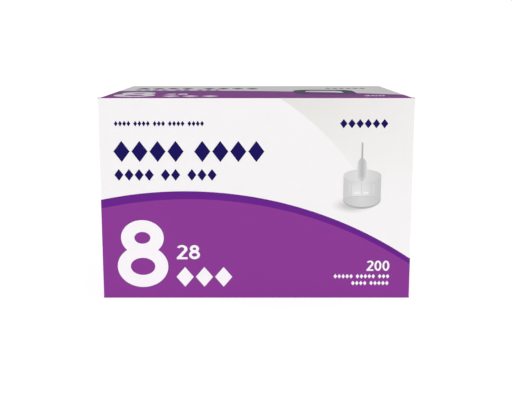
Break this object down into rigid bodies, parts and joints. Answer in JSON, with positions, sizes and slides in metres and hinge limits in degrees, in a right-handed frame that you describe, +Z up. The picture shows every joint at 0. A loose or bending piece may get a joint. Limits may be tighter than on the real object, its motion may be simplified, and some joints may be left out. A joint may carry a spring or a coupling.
{
  "type": "sealed folding carton",
  "caption": "Closed rectangular folding carton of coated board, glued shut with overlapping flaps at both ends and a lapped seam along the lower back edge, printed in purple and white.",
  "frame": {"origin": "centre of the base, on the surface that the carton stands on", "axes": "+X along the length, to the right as the printed front is read; +Y from the front to the back, across the depth; +Z up"},
  "size_m": [0.13, 0.075, 0.0855],
  "materials": {
    "coated_board": "white clay-coated folding board under a satin varnish",
    "board_edge": "raw cut edge of the board, fibrous and matte",
    "purple_ink": "solid purple print under a satin varnish",
    "violet_ink": "solid dark violet print under a satin varnish",
    "navy_ink": "solid navy print under a satin varnish",
    "grey_ink": "grey tints of the printed picture under a satin varnish",
    "pale_tint": "pale warm grey tint that fades out, under a satin varnish",
    "white_reserve": "bare white board left open in the solid print, under a satin varnish"
  },
  "bodies": {
    "root": {"carton": "coated_board"}
  },
  "joints": []
}
